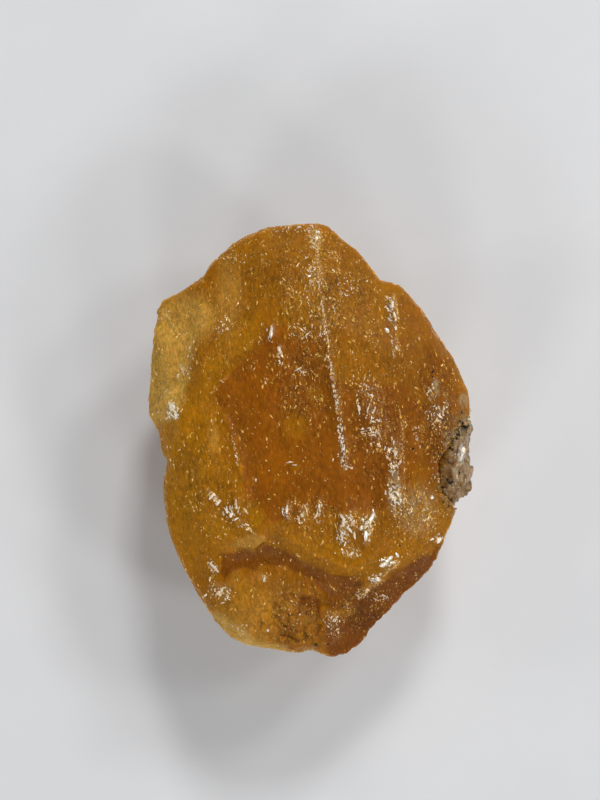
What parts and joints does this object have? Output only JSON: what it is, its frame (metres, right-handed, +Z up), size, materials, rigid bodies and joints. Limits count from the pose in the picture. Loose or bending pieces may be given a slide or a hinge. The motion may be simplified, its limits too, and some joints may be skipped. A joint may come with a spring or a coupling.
{
  "type": "scheelite crystal",
  "caption": "Rough honey-amber scheelite crystal, translucent and lightly etched, with a little clear quartz grown on its right edge.",
  "frame": {"origin": "middle of the bounding box in X and Y, on the plane that the stone rests on", "axes": "+Z up out of the broad etched face, +Y along the stone's length towards its narrower flat-ended head, +X towards the edge with the quartz"},
  "size_m": [0.033, 0.044, 0.02],
  "materials": {
    "scheelite": "translucent amber, greasy to glassy, with fine etch marks",
    "quartz": "clear to grey, glassy"
  },
  "bodies": {
    "root": {"scheelite_crystal": "scheelite", "quartz_edge": "quartz"}
  },
  "joints": []
}
